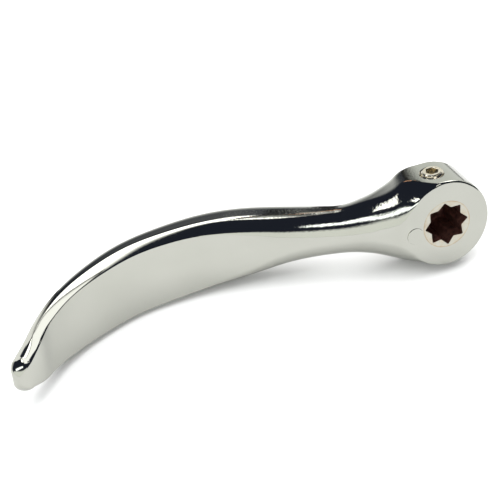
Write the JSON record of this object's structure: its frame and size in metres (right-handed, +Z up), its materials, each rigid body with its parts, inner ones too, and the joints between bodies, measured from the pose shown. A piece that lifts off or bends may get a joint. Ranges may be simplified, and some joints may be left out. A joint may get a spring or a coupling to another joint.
{
  "type": "winch handle",
  "caption": "Lever-type winch handle: plated casting with a curved paddle grip, and a hub with an eight-point drive socket and a clamping set screw.",
  "frame": {"origin": "centre of the drive socket's mouth, in the plane of the hub's mount face", "axes": "-Y points out of the socket towards the winch's shaft, so the hub lies towards +Y; the lever runs towards -X and bows back towards +Y; the set screw points up along +Z"},
  "size_m": [0.1389, 0.04, 0.0261],
  "materials": {
    "polished_chrome": "polished plating with a faint orange-peel, warm and darker inside the drive socket",
    "nickel_steel": "bright nickel-plated steel with a warm tint"
  },
  "bodies": {
    "lever": {"lever": "polished_chrome"},
    "set_screw": {"set_screw": "nickel_steel"}
  },
  "joints": [
    {"name": "set_screw_travel", "type": "slide", "parent": "lever", "child": "set_screw", "axis": [0, 0, 1], "range_m": [-0.0022, 0.003]}
  ]
}
